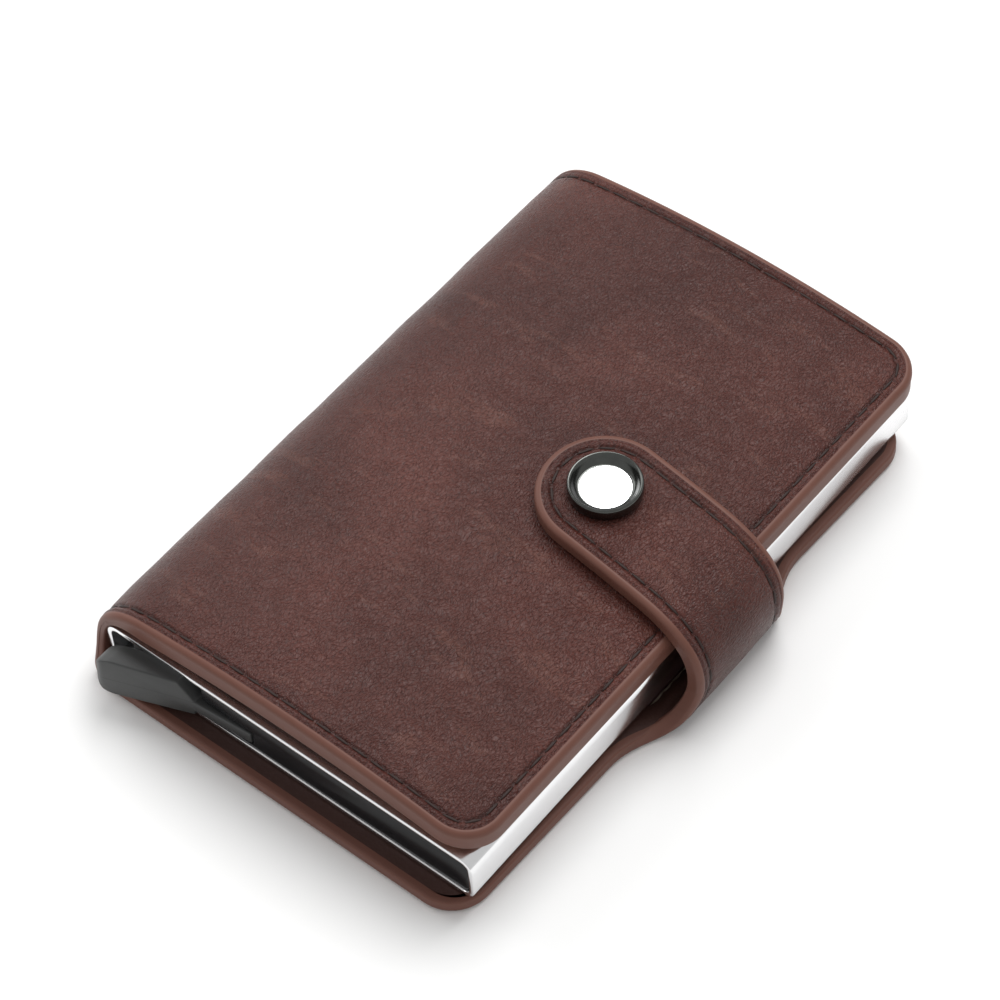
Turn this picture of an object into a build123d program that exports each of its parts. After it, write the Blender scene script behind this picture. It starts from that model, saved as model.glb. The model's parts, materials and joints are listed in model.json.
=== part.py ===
"""Pop-up card case: an aluminium card tube with an eject lever, in a folded leather wrap with a snap strap.

Millimetres. X runs across the case towards the strap, Y along it towards the card mouth, Z up.
The origin lies on the resting face, under the middle of the card tube.
"""
import os
from math import sqrt

from build123d import *

os.makedirs("parts", exist_ok=True)

# Card tube: an extruded aluminium sleeve, open at both ends
TUBE_W = 63.4
TUBE_L = 98.0
TUBE_H = 8.4
TUBE_WALL = 0.85
TUBE_CORNER = 2.0

# Back panel of the wrap, from its resting face up, and the tape that holds the tube on it
BACK_T = 2.35
BACK_SKIN = 0.95
BACK_BOARD_T = 0.8
TAPE_T = 0.3

# Cover panel of the wrap, from its underside up: pockets, lining, board, foam and leather
COVER_GAP = 0.65
COVER_T = 3.55
POCKET_T = 0.35
LINING_T = 0.4
COVER_BOARD_T = 0.7
COVER_FOAM_T = 0.75
CROWN = 2.7
CROWN_HALF_W = 32.5

# Outline of the wrap: both panels are as long, but the fold sits a little askew
PANEL_L = 100.0
COVER_LEFT = -25.0
BACK_LEFT = -31.5
PANEL_RIGHT = 32.3
PANEL_CORNER = 6.0
COVER_SHIFT = 0.8
BACK_SHIFT = -2.2
RIM = 1.3
RIM_ROUND = 0.9
SPINE_LEFT = -34.0
SPINE_LEATHER_T = 1.0
SPINE_LINING_T = 0.5

# Strap: grows from the back panel as a short root, bows up past the tube, and bends over the cover
SNAP_X = 13.2
SNAP_Y = 3.2
STRAP_HALF_W = 9.6
STRAP_SLANT = 0.085
STRAP_SLANT_ROUND_BENDS = 1.1
STRAP_GAP = 0.8
STRAP_LEATHER_T = 1.3
STRAP_LINING_T = 1.1
ROOT_END_X = 33.6
ROOT_T = 2.2
RISER_LOW = 1.5
RISER_X = 35.7
RISER_R = 15.0
FOLD_X = 34.0
FOLD_CLEAR = 0.2

# Snap fastener
CAP_R = 5.2
CAP_H = 1.9
CAP_DISH_DEPTH = 1.3
CAP_DISH_MOUTH_R = 4.9
CAP_DISH_FLOOR_R = 3.8
CAP_POST_R = 1.6
SOCKET_R = 4.0
SOCKET_BORE_R = 1.85
SOCKET_T = 0.9
SOCKET_WEB = 0.25
STUD_R = 1.5
STUD_FLANGE_R = 3.6
STUD_FLANGE_T = 0.3
STUD_H = 0.95
SHANK_R = 0.9

# Base cap and eject lever, in the end of the tube away from the mouth
CAP_RECESS = 0.7
CAP_WALL = 1.0
CAP_PLATE_T = 0.55
CAP_DEPTH = 7.3
CAP_FREE_X = -15.0
CAP_SLOT_X = -6.2
CAP_BLOCK_X = 20.0
SLIP = 0.1
PIVOT_X = 14.0
PIVOT_Y = -44.7
PIN_R = 1.2
PIN_RUNNING = 0.05
LEVER_LOW = 4.3
LEVER_TOP = 6.5
BOSS_R = 2.5
PADDLE_LEFT = -30.4
PADDLE_NOSE_Y = -54.1
PADDLE_LOW = 3.5
PADDLE_TOP = 10.2
PADDLE_T = 3.4
PADDLE_RIGHT = -16.0
PADDLE_RIGHT_Y = -49.5
STEP_COUNT = 5
STEP_RUN = 0.9
RAIL_W = 2.7
STRIP_T = 0.45

# Levels and places that follow from them
TUBE_LOW = BACK_T + TAPE_T
TUBE_TOP = TUBE_LOW + TUBE_H
TUBE_MID_Z = TUBE_LOW + TUBE_H / 2
BORE_LOW = TUBE_LOW + TUBE_WALL
BORE_TOP = TUBE_TOP - TUBE_WALL
BORE_HALF_W = TUBE_W / 2 - TUBE_WALL
BASE_Y = -TUBE_L / 2
CAP_FACE_Y = BASE_Y + CAP_RECESS
COVER_LOW = TUBE_TOP + COVER_GAP
CROWN_R = (CROWN_HALF_W**2 + CROWN**2) / (2 * CROWN)
CROWN_Z = COVER_LOW + CROWN - CROWN_R
STRAP_H = COVER_T + STRAP_GAP
STRAP_T = STRAP_LINING_T + STRAP_LEATHER_T


def crown_z(x, height):
    """Level of the cover's crown at x, this far above the cover's underside."""
    return CROWN_Z + sqrt((CROWN_R + height) ** 2 - x**2)


def panel(level, shift, left, inset=0.0):
    """Outline of a wrap panel: a rectangle with its two strap-side corners rounded."""
    right = PANEL_RIGHT - inset
    with BuildSketch(Plane.XY.offset(level)) as outline:
        with Locations(((left + right) / 2, shift)):
            Rectangle(right - left, PANEL_L - 2 * inset)
        fillet(outline.vertices().group_by(Axis.X)[-1], PANEL_CORNER - inset)
    return outline.sketch


def crown_band(left, right, low, high):
    """Strip of the cover's cross-section between two heights above its underside."""
    middle = (left + right) / 2
    with BuildSketch(Plane.XZ) as band:
        with BuildLine():
            ThreePointArc(*[(x, crown_z(x, low)) for x in (left, middle, right)])
            Line((right, crown_z(right, low)), (right, crown_z(right, high)))
            ThreePointArc(*[(x, crown_z(x, high)) for x in (right, middle, left)])
            Line((left, crown_z(left, high)), (left, crown_z(left, low)))
        make_face()
    return band.sketch


def crowned(outline, left, right, low, high):
    """Solid of an outline on the XY plane, between two heights of the cover's crown."""
    with BuildPart() as slab:
        extrude(outline, amount=4 * TUBE_H)
        extrude(crown_band(left, right, low, high), amount=PANEL_L, both=True, mode=Mode.INTERSECT)
    return slab.part


def block(left, right, near, far, low, high, mode=Mode.ADD):
    """Rectangular solid between six planes, added to the piece in hand or cut from it."""
    with Locations(((left + right) / 2, (near + far) / 2, (low + high) / 2)):
        Box(right - left, far - near, high - low, mode=mode)


def round_bar(x, y, low, high, radius, mode=Mode.ADD):
    """Upright round solid, added to the piece in hand or cut from it."""
    with Locations((x, y, (low + high) / 2)):
        Cylinder(radius, high - low, mode=mode)


def stud_shank(low, high, mode=Mode.ADD):
    """Shank of the snap stud, or the hole it passes through."""
    round_bar(SNAP_X, SNAP_Y, low, high, SHANK_R, mode)


# Card tube and what is fixed inside it ---------------------------------------------------------

with BuildPart() as card_tube:
    with BuildSketch(Plane.XZ.offset(-TUBE_L / 2)):
        with Locations((0, TUBE_MID_Z)):
            RectangleRounded(TUBE_W, TUBE_H, TUBE_CORNER)
            RectangleRounded(
                TUBE_W - 2 * TUBE_WALL, TUBE_H - 2 * TUBE_WALL, TUBE_CORNER - TUBE_WALL, mode=Mode.SUBTRACT
            )
    extrude(amount=TUBE_L)

cap_low = BORE_LOW + SLIP
cap_top = BORE_TOP - SLIP
cap_right = BORE_HALF_W - SLIP
cap_back_y = CAP_FACE_Y + CAP_DEPTH
wall_back_y = CAP_FACE_Y + CAP_WALL
neck_gap = 0.3

with BuildPart() as base_cap:
    block(CAP_FREE_X, cap_right, CAP_FACE_Y, wall_back_y, cap_low, cap_top)
    block(CAP_FREE_X, cap_right, wall_back_y, cap_back_y, cap_low, cap_low + CAP_PLATE_T)
    block(CAP_FREE_X, cap_right, wall_back_y, cap_back_y, cap_top - CAP_PLATE_T, cap_top)
    block(CAP_BLOCK_X, cap_right, wall_back_y, cap_back_y, cap_low, cap_top)
    fillet(base_cap.edges().filter_by(Axis.Y).group_by(Axis.X)[-1], TUBE_CORNER - TUBE_WALL)
    slot = (CAP_FREE_X - 1, CAP_SLOT_X, CAP_FACE_Y - 1, wall_back_y + SLIP)
    block(*slot, cap_low + CAP_PLATE_T, LEVER_TOP + neck_gap, mode=Mode.SUBTRACT)
    round_bar(PIVOT_X, PIVOT_Y, cap_low - 1, cap_top + 1, PIN_R, mode=Mode.SUBTRACT)

with BuildPart() as lever_pin:
    round_bar(PIVOT_X, PIVOT_Y, cap_low, cap_top, PIN_R)
    chamfer(lever_pin.edges(), SLIP)

spring_r = PIN_R + 0.8
spring_wire_r = 0.25
spring_low = LEVER_TOP + 0.4
spring_turns = 4
spring_pitch = 0.6

with BuildPart() as return_spring:
    with BuildLine(Plane((PIVOT_X, PIVOT_Y, spring_low))) as coil:
        Helix(spring_pitch, spring_turns * spring_pitch, spring_r)
    with BuildSketch(Plane(origin=coil.wire() @ 0, z_dir=coil.wire() % 0)):
        Circle(spring_wire_r)
    sweep(path=coil.wire(), is_frenet=True)

rail_near_y = cap_back_y + 3.0
rail_far_y = TUBE_L / 2 - 2.0

with BuildPart() as guide_rail_left:
    block(-cap_right, RAIL_W - cap_right, rail_near_y, rail_far_y, cap_low, cap_top)
    fillet(guide_rail_left.edges().filter_by(Axis.Y).group_by(Axis.X)[0], TUBE_CORNER - TUBE_WALL)

with BuildPart() as guide_rail_right:
    block(cap_right - RAIL_W, cap_right, rail_near_y, rail_far_y, cap_low, cap_top)
    fillet(guide_rail_right.edges().filter_by(Axis.Y).group_by(Axis.X)[-1], TUBE_CORNER - TUBE_WALL)

strip_half_w = 14.0
strip_near_y = -5.0
strip_far_y = 28.0

with BuildPart() as friction_strip_lower:
    block(-strip_half_w, strip_half_w, strip_near_y, strip_far_y, BORE_LOW, BORE_LOW + STRIP_T)

with BuildPart() as friction_strip_upper:
    block(-strip_half_w, strip_half_w, strip_near_y, strip_far_y, BORE_TOP - STRIP_T, BORE_TOP)

# Eject lever: a paddle outside the case, a neck through the base cap's slot, an arm to the pivot pin,
# and a staircase behind the paddle that pushes each card a little further than the one below ------

paddle_half_h = (PADDLE_TOP - PADDLE_LOW) / 2
paddle_slope = (PADDLE_RIGHT_Y - PADDLE_NOSE_Y) / (PADDLE_RIGHT - PADDLE_LEFT)
paddle_mid_z = (PADDLE_TOP + PADDLE_LOW) / 2
nose_r = 1.6
neck_face_y = CAP_FACE_Y - 0.5
neck_end_x = CAP_SLOT_X - neck_gap
arm_near_y = wall_back_y + neck_gap
arm_far_y = PIVOT_Y + 1.6

with BuildPart() as eject_lever:
    with BuildSketch(Plane.XY.offset(PADDLE_LOW)) as paddle_plan:
        with BuildLine():
            Polyline(
                (PADDLE_LEFT, PADDLE_NOSE_Y),
                (PADDLE_RIGHT, PADDLE_RIGHT_Y),
                (PADDLE_RIGHT, PADDLE_RIGHT_Y + PADDLE_T),
                (PADDLE_LEFT, PADDLE_NOSE_Y + PADDLE_T),
                close=True,
            )
        make_face()
        fillet(paddle_plan.vertices().group_by(Axis.X)[0], nose_r)
    extrude(amount=2 * paddle_half_h)
    with BuildSketch(Plane.XZ):
        with BuildLine():
            start = (PADDLE_LEFT + paddle_half_h, PADDLE_TOP)
            end = (PADDLE_LEFT + paddle_half_h, PADDLE_LOW)
            ThreePointArc(start, (PADDLE_LEFT, paddle_mid_z), end)
            Polyline(end, (PADDLE_RIGHT, PADDLE_LOW), (PADDLE_RIGHT, LEVER_TOP))
            Polyline((PADDLE_RIGHT, LEVER_TOP), (PADDLE_RIGHT - 2.0, PADDLE_TOP), start)
        make_face()
    extrude(amount=TUBE_L, both=True, mode=Mode.INTERSECT)
    with BuildSketch(Plane.XY.offset(LEVER_LOW)):
        with BuildLine():
            Polyline(
                (PADDLE_RIGHT - 1.0, PADDLE_RIGHT_Y - 1.0 * paddle_slope),
                (PADDLE_RIGHT, PADDLE_RIGHT_Y),
                (neck_end_x, neck_face_y),
                (neck_end_x, arm_near_y),
                (PIVOT_X, arm_near_y),
                (PIVOT_X, arm_far_y),
                (PADDLE_RIGHT - 1.0, arm_far_y),
                close=True,
            )
        make_face()
        with Locations((PIVOT_X, PIVOT_Y)):
            Circle(BOSS_R)
            Circle(PIN_R + PIN_RUNNING, mode=Mode.SUBTRACT)
    extrude(amount=LEVER_TOP - LEVER_LOW)
    step_left = PADDLE_LEFT + 3.0
    step_right = PADDLE_RIGHT - 4.0
    step_low = PADDLE_LOW + 0.3
    step_h = (PADDLE_TOP - 0.3 - step_low) / STEP_COUNT
    for step in range(STEP_COUNT):
        step_far_y = arm_far_y + 1.5 - STEP_RUN * step
        floor = step_low + step * step_h
        block(step_left, step_right, PADDLE_RIGHT_Y + 1.0, step_far_y, floor, floor + step_h)
    with BuildSketch(Plane.XY.offset(LEVER_LOW)):
        with Locations(((step_right + PADDLE_RIGHT) / 2, (arm_far_y + PADDLE_RIGHT_Y) / 2)):
            Rectangle(PADDLE_RIGHT - step_right + 2, 3.0)
    extrude(amount=LEVER_TOP - LEVER_LOW)

# Leather wrap: back panel, spine and cover, each with its board and lining ---------------------------

strap_end_x = FOLD_X - FOLD_CLEAR
slant_y = STRAP_SLANT * (strap_end_x - SNAP_X)
fold_y = SNAP_Y - slant_y
root_y = fold_y - STRAP_SLANT_ROUND_BENDS
root_overlap = 2.0

with BuildPart() as back_leather:
    with BuildSketch() as back_outline:
        add(panel(0, BACK_SHIFT, BACK_LEFT))
        with Locations(((PANEL_RIGHT + ROOT_END_X - root_overlap) / 2, root_y)):
            Rectangle(ROOT_END_X - PANEL_RIGHT + root_overlap, 2 * STRAP_HALF_W)
        corners = back_outline.vertices().filter_by_position(Axis.X, PANEL_RIGHT - SLIP, PANEL_RIGHT + SLIP)
        corners = corners.filter_by_position(Axis.Y, -2 * STRAP_HALF_W, 2 * STRAP_HALF_W)
        fillet(corners, ROOT_END_X - PANEL_RIGHT - SLIP)
    extrude(amount=ROOT_T)
    extrude(panel(0, BACK_SHIFT, BACK_LEFT), amount=BACK_T)
    extrude(panel(BACK_SKIN, BACK_SHIFT, BACK_LEFT - 1, RIM), amount=BACK_T, mode=Mode.SUBTRACT)

with BuildPart() as back_board:
    extrude(panel(BACK_SKIN, BACK_SHIFT, BACK_LEFT, RIM), amount=BACK_BOARD_T)

back_board_top = BACK_SKIN + BACK_BOARD_T

with BuildPart() as back_lining:
    extrude(panel(back_board_top, BACK_SHIFT, BACK_LEFT, RIM), amount=BACK_T - back_board_top)

with BuildPart() as mounting_tape:
    block(-24, 24, -38, 38, BACK_T, TUBE_LOW)
    fillet(mounting_tape.edges().filter_by(Axis.Z), 2.0)

# The fold leaves the cover along its crown, turns down in one wide arc, and tucks under in a tight one
fold_slope = -COVER_LEFT / (CROWN_R + COVER_T)
arc_r = (COVER_LEFT - SPINE_LEFT) / (1 - fold_slope)
arc_x = SPINE_LEFT + arc_r
arc_z = crown_z(COVER_LEFT, COVER_T) - arc_r * sqrt(1 - fold_slope**2)
tuck_r = BACK_LEFT - SPINE_LEFT
spine_shift = (COVER_SHIFT + BACK_SHIFT) / 2


def spine_curve(depth):
    """Cross-section of the fold this deep in its thickness, from the cover to the back panel."""
    wide, tight = arc_r - depth, tuck_r - depth
    half = sqrt(0.5)
    start = (COVER_LEFT, arc_z + sqrt(wide**2 - (COVER_LEFT - arc_x) ** 2))
    turn = (arc_x - wide, arc_z)
    tuck = (BACK_LEFT - tight, tuck_r)
    end = (BACK_LEFT, tuck_r - tight)
    ThreePointArc(start, (arc_x - wide * half, arc_z + wide * half), turn)
    Line(turn, tuck)
    ThreePointArc(tuck, (BACK_LEFT - tight * half, tuck_r - tight * half), end)
    return start, end


def spine_layer(outside, inside):
    """One layer of the fold, between two depths."""
    with BuildPart() as layer:
        with BuildSketch(Plane.XZ.offset(-spine_shift)):
            with BuildLine():
                outer_start, outer_end = spine_curve(outside)
                inner_start, inner_end = spine_curve(inside)
                Line(outer_start, inner_start)
                Line(outer_end, inner_end)
            make_face()
        extrude(amount=PANEL_L / 2, both=True)
    return layer.part


with BuildPart() as spine_leather:
    add(spine_layer(0, SPINE_LEATHER_T))

with BuildPart() as spine_lining:
    add(spine_layer(SPINE_LEATHER_T, SPINE_LEATHER_T + SPINE_LINING_T))

# Layers of the cover, as heights above its underside
pocket_front_top = POCKET_T
pocket_rear_top = 2 * POCKET_T
lining_top = pocket_rear_top + LINING_T
board_top = lining_top + COVER_BOARD_T
foam_top = board_top + COVER_FOAM_T
stud_base_z = crown_z(SNAP_X - STUD_FLANGE_R, COVER_T)
shank_low = crown_z(SNAP_X - SHANK_R, lining_top)

cover_outline = panel(COVER_LOW - 1, COVER_SHIFT, COVER_LEFT)
cover_inner = panel(COVER_LOW - 1, COVER_SHIFT, COVER_LEFT, RIM)
cover_hollow = panel(COVER_LOW - 1, COVER_SHIFT, COVER_LEFT - 0.5, RIM)
rim_low = crown_z(PANEL_RIGHT, COVER_T) - SLIP

with BuildPart() as cover_leather:
    add(crowned(cover_outline, COVER_LEFT, PANEL_RIGHT, 0, COVER_T))
    rim = cover_leather.edges().filter_by(lambda e: e.center().Z > rim_low and e.center().X > COVER_LEFT + 1)
    fillet(rim, RIM_ROUND)
    add(crowned(cover_hollow, COVER_LEFT - 0.5, PANEL_RIGHT, -0.5, foam_top), mode=Mode.SUBTRACT)
    stud_shank(shank_low, stud_base_z + 1, Mode.SUBTRACT)

with BuildPart() as cover_foam:
    add(crowned(cover_inner, COVER_LEFT, PANEL_RIGHT, board_top, foam_top))
    stud_shank(shank_low, stud_base_z + 1, Mode.SUBTRACT)

with BuildPart() as cover_board:
    add(crowned(cover_inner, COVER_LEFT, PANEL_RIGHT, lining_top, board_top))
    stud_shank(shank_low, stud_base_z + 1, Mode.SUBTRACT)

with BuildPart() as cover_lining:
    add(crowned(cover_inner, COVER_LEFT, PANEL_RIGHT, pocket_rear_top, lining_top))

pocket_rear_left = -20.0
pocket_front_left = -8.0

with BuildPart() as pocket_rear:
    outline = panel(COVER_LOW - 1, COVER_SHIFT, pocket_rear_left, RIM)
    add(crowned(outline, pocket_rear_left, PANEL_RIGHT, pocket_front_top, pocket_rear_top))

with BuildPart() as pocket_front:
    outline = panel(COVER_LOW - 1, COVER_SHIFT, pocket_front_left, RIM)
    add(crowned(outline, pocket_front_left, PANEL_RIGHT, 0, pocket_front_top))

# Snap stud on the cover, under the strap -----------------------------------------------------------

with BuildPart() as snap_stud:
    round_bar(SNAP_X, SNAP_Y, stud_base_z, stud_base_z + STUD_FLANGE_T, STUD_FLANGE_R)
    round_bar(SNAP_X, SNAP_Y, stud_base_z, stud_base_z + STUD_H, STUD_R)
    fillet(snap_stud.edges().group_by(Axis.Z)[-1], 0.3)
    stud_shank(shank_low, stud_base_z + STUD_FLANGE_T)

# Strap: a riser beside the tube and a tip over the cover, each of leather and lining -----------------

upper_fold_z = crown_z(FOLD_X, STRAP_H)
riser_top = upper_fold_z - FOLD_CLEAR


def strap_outline():
    """Plan of the strap's tip: two slightly slanted sides and a round end about the snap."""
    with BuildSketch(Plane.XY.offset(COVER_LOW)) as outline:
        with BuildLine():
            Polyline(
                (SNAP_X, SNAP_Y - STRAP_HALF_W),
                (strap_end_x, fold_y - STRAP_HALF_W),
                (strap_end_x, fold_y + STRAP_HALF_W),
                (SNAP_X, SNAP_Y + STRAP_HALF_W),
            )
            ThreePointArc(
                (SNAP_X, SNAP_Y + STRAP_HALF_W),
                (SNAP_X - STRAP_HALF_W, SNAP_Y),
                (SNAP_X, SNAP_Y - STRAP_HALF_W),
            )
        make_face()
    return outline.sketch


def riser(inside, outside):
    """Bowed upright layer of the strap between two depths, leaning a little along the case as it rises."""
    with BuildPart() as upright:
        with BuildSketch(Plane.YZ.offset(RISER_X - RISER_R / 2)):
            with BuildLine():
                Polyline(
                    (root_y - STRAP_HALF_W, RISER_LOW),
                    (root_y + STRAP_HALF_W, RISER_LOW),
                    (fold_y + STRAP_HALF_W, riser_top),
                    (fold_y - STRAP_HALF_W, riser_top),
                    close=True,
                )
            make_face()
        extrude(amount=RISER_R)
        with BuildSketch(Plane.XZ):
            with Locations((RISER_X - RISER_R, (RISER_LOW + riser_top) / 2)):
                Circle(RISER_R + outside)
                Circle(RISER_R + inside, mode=Mode.SUBTRACT)
        extrude(amount=PANEL_L, both=True, mode=Mode.INTERSECT)
    return upright.part


strap_left = SNAP_X - STRAP_HALF_W - 0.5
strap_lining_top = STRAP_H + STRAP_LINING_T
strap_top = STRAP_H + STRAP_T
cap_base_z = crown_z(SNAP_X - CAP_R, strap_top)
socket_top = crown_z(SNAP_X + SOCKET_R, strap_lining_top)
socket_low = socket_top - SOCKET_T

with BuildPart() as strap_tip_lining:
    add(crowned(strap_outline(), strap_left, strap_end_x, STRAP_H, strap_lining_top))
    round_bar(SNAP_X, SNAP_Y, COVER_LOW, cap_base_z, SOCKET_R + SLIP, mode=Mode.SUBTRACT)

with BuildPart() as strap_tip_leather:
    add(crowned(strap_outline(), strap_left, strap_end_x, strap_lining_top, strap_top))
    round_bar(SNAP_X, SNAP_Y, COVER_LOW, cap_base_z + 1, CAP_POST_R, mode=Mode.SUBTRACT)

with BuildPart() as strap_riser_lining:
    add(riser(0, STRAP_LINING_T))

with BuildPart() as strap_riser_leather:
    add(riser(STRAP_LINING_T, STRAP_T))

with BuildPart() as snap_socket:
    round_bar(SNAP_X, SNAP_Y, socket_low, socket_top, SOCKET_R)
    chamfer(snap_socket.edges().group_by(Axis.Z)[0], 0.2)
    round_bar(SNAP_X, SNAP_Y, socket_low - 1, socket_top - SOCKET_WEB, SOCKET_BORE_R, Mode.SUBTRACT)

cap_top_z = cap_base_z + CAP_H

with BuildPart() as snap_cap:
    round_bar(SNAP_X, SNAP_Y, cap_base_z, cap_top_z, CAP_R)
    fillet(snap_cap.edges().group_by(Axis.Z)[-1], CAP_R - CAP_DISH_MOUTH_R - 0.1)
    with Locations((SNAP_X, SNAP_Y, cap_top_z - CAP_DISH_DEPTH / 2)):
        Cone(CAP_DISH_FLOOR_R, CAP_DISH_MOUTH_R, CAP_DISH_DEPTH, mode=Mode.SUBTRACT)
    round_bar(SNAP_X, SNAP_Y, socket_top, cap_base_z, CAP_POST_R)

pieces = {
    "card_tube": card_tube,
    "base_cap": base_cap,
    "lever_pin": lever_pin,
    "return_spring": return_spring,
    "guide_rail_left": guide_rail_left,
    "guide_rail_right": guide_rail_right,
    "friction_strip_lower": friction_strip_lower,
    "friction_strip_upper": friction_strip_upper,
    "eject_lever": eject_lever,
    "mounting_tape": mounting_tape,
    "back_leather": back_leather,
    "back_board": back_board,
    "back_lining": back_lining,
    "spine_leather": spine_leather,
    "spine_lining": spine_lining,
    "cover_leather": cover_leather,
    "cover_foam": cover_foam,
    "cover_board": cover_board,
    "cover_lining": cover_lining,
    "pocket_rear": pocket_rear,
    "pocket_front": pocket_front,
    "snap_stud": snap_stud,
    "strap_riser_leather": strap_riser_leather,
    "strap_riser_lining": strap_riser_lining,
    "strap_tip_leather": strap_tip_leather,
    "strap_tip_lining": strap_tip_lining,
    "snap_socket": snap_socket,
    "snap_cap": snap_cap,
}
for name, piece in pieces.items():
    piece.part.label = name
    export_step(piece.part, f"parts/{name}.step")
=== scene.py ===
import json
from math import cos, pi, radians, sin, sqrt

import bmesh
import bpy
import numpy as np
from mathutils import Matrix, Vector, noise
from mathutils.geometry import delaunay_2d_cdt

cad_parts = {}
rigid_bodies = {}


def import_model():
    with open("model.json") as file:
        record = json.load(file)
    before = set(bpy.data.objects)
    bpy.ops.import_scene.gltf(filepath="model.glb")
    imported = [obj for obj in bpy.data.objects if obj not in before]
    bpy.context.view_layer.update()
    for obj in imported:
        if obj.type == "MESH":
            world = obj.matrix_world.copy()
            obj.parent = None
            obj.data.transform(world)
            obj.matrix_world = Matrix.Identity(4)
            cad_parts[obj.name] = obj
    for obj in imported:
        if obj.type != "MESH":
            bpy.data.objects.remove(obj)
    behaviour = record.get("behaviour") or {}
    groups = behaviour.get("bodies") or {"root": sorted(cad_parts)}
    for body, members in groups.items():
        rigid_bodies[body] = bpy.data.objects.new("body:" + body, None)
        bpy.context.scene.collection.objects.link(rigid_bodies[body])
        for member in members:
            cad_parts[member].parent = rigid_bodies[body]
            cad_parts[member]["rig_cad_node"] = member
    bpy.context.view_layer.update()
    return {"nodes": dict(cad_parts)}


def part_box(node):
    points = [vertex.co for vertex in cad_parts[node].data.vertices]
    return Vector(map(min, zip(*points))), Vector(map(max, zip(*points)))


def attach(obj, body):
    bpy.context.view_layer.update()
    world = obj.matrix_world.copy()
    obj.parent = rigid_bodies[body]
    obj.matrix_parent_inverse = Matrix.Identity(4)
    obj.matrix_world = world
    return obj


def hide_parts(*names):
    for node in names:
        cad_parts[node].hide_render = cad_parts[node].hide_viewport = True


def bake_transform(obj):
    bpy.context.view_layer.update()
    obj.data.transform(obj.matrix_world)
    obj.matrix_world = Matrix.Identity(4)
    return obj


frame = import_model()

# Card tube -------------------------------------------------------------------------------------
# A drawn aluminium sleeve, sawn to length, tumbled so that its ends are just broken, and anodised
# to a pale satin that keeps a faint drawn line along its length.


class Wire:
    """An output of a material's node; sums written on it add the Math nodes they need."""

    def __init__(self, finish, socket):
        self.finish, self.socket = finish, socket

    def sum_of(self, operation, *terms):
        return self.finish.node("ShaderNodeMath", {"operation": operation}, dict(enumerate(terms)))

    def __add__(self, other):
        return self.sum_of("ADD", self, other)

    def __radd__(self, other):
        return self.sum_of("ADD", other, self)

    def __sub__(self, other):
        return self.sum_of("SUBTRACT", self, other)

    def __rsub__(self, other):
        return self.sum_of("SUBTRACT", other, self)

    def __mul__(self, other):
        return self.sum_of("MULTIPLY", self, other)

    def __rmul__(self, other):
        return self.sum_of("MULTIPLY", other, self)

    def __lt__(self, other):
        return self.sum_of("LESS_THAN", self, other)

    def __gt__(self, other):
        return self.sum_of("GREATER_THAN", self, other)

    def __pow__(self, other):
        return self.sum_of("POWER", self, other)

    def __abs__(self):
        return self.sum_of("ABSOLUTE", self)

    def floor_at(self, least):
        return self.sum_of("MAXIMUM", self, least)

    def held_to(self, most):
        return self.sum_of("MINIMUM", self, most)


class Finish:
    """A material: its even values go on the shader's own sockets, its varying ones are wired in."""

    def __init__(self, name, **even):
        self.material = bpy.data.materials.new(name)
        self.material.use_nodes = True
        self.nodes, self.links = self.material.node_tree.nodes, self.material.node_tree.links
        self.shader = self.nodes["Principled BSDF"]
        for socket, value in even.items():
            self.shader.inputs[socket.replace("_", " ")].default_value = value

    def node(self, kind, settings, inputs, output=0):
        made = self.nodes.new(kind)
        for key, value in settings.items():
            if key == "stops":
                ramp = made.color_ramp.elements
                while len(ramp) < len(value):
                    ramp.new(1.0)
                for stop, (place, colour) in zip(ramp, value):
                    stop.position, stop.color = place, (*colour, 1)
            else:
                setattr(made, key, value)
        for key, value in inputs.items():
            self.join(value, made.inputs[key])
        return Wire(self, made.outputs[output])

    def join(self, value, socket):
        if isinstance(value, Wire):
            self.links.new(value.socket, socket)
        elif isinstance(value, tuple) and len(value) == 3 and socket.type == "RGBA":
            socket.default_value = (*value, 1)
        else:
            socket.default_value = value

    def place(self, which="Object", scale=(1, 1, 1)):
        where = self.node("ShaderNodeTexCoord", {}, {}, which)
        return self.node("ShaderNodeMapping", {}, {"Vector": where, "Scale": scale})

    def cloud(self, where, scale, detail=2.0, roughness=0.5, distortion=0.0):
        inputs = {"Vector": where, "Scale": scale, "Detail": detail, "Roughness": roughness}
        return self.node("ShaderNodeTexNoise", {}, {**inputs, "Distortion": distortion})

    def cells(self, where, scale, feature="F1", randomness=1.0):
        inputs = {"Vector": where, "Scale": scale, "Randomness": randomness}
        return self.node("ShaderNodeTexVoronoi", {"feature": feature}, inputs, "Distance")

    def tint(self, share, first, second):
        return self.node("ShaderNodeMix", {"data_type": "RGBA"}, {0: share, 6: first, 7: second}, 2)

    def ramp(self, share, *stops):
        return self.node("ShaderNodeValToRGB", {"stops": stops}, {"Fac": share})

    def relief(self, height, depth, strength=1.0, **under):
        inputs = {"Height": height, "Distance": depth, "Strength": strength, **under}
        return self.node("ShaderNodeBump", {}, inputs)

    def wear(self, **varying):
        for socket, value in varying.items():
            self.join(value, self.shader.inputs[socket.replace("_", " ")])
        return self.material


def deselect():
    if bpy.context.mode != "OBJECT":
        bpy.ops.object.mode_set(mode="OBJECT")
    bpy.ops.object.select_all(action="DESELECT")


def take(piece):
    deselect()
    piece.select_set(True)
    bpy.context.view_layer.objects.active = piece


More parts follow.
